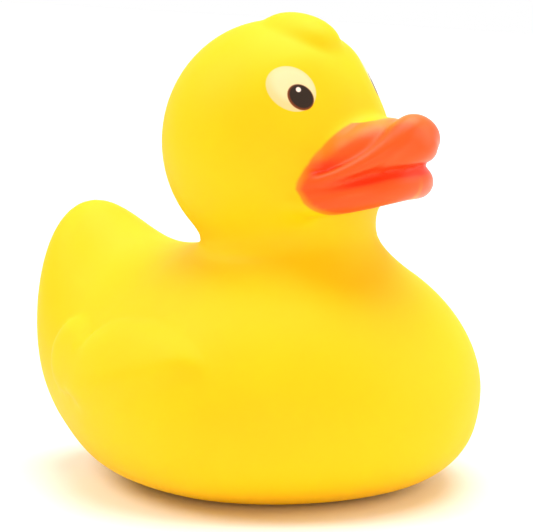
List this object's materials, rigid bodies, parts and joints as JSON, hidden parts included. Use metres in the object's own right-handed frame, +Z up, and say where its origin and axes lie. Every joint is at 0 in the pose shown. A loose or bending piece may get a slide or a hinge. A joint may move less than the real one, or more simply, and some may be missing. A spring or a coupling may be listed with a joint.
{
  "type": "rubber duck",
  "caption": "Hollow moulded bath duck with an upturned bill, relief wings and a raised tail, on a flat base that holds a round reed squeaker.",
  "frame": {"origin": "under the middle of the duck's length and width, on the surface that it stands on", "axes": "+Z up, the duck faces -Y, and its left and right halves mirror each other across X = 0"},
  "size_m": [0.0708, 0.0816, 0.0801],
  "materials": {
    "vinyl_body": "soft vinyl, satin, with a sprayed orange bill and printed eyes",
    "squeaker_plastic": "natural moulded polyethylene",
    "reed_plastic": "thin smooth plastic strip"
  },
  "bodies": {
    "root": {"duck_body": "vinyl_body", "squeaker_housing": "squeaker_plastic", "reed_holder": "squeaker_plastic", "reed_clamp": "squeaker_plastic", "squeaker_reed": "reed_plastic"}
  },
  "joints": []
}
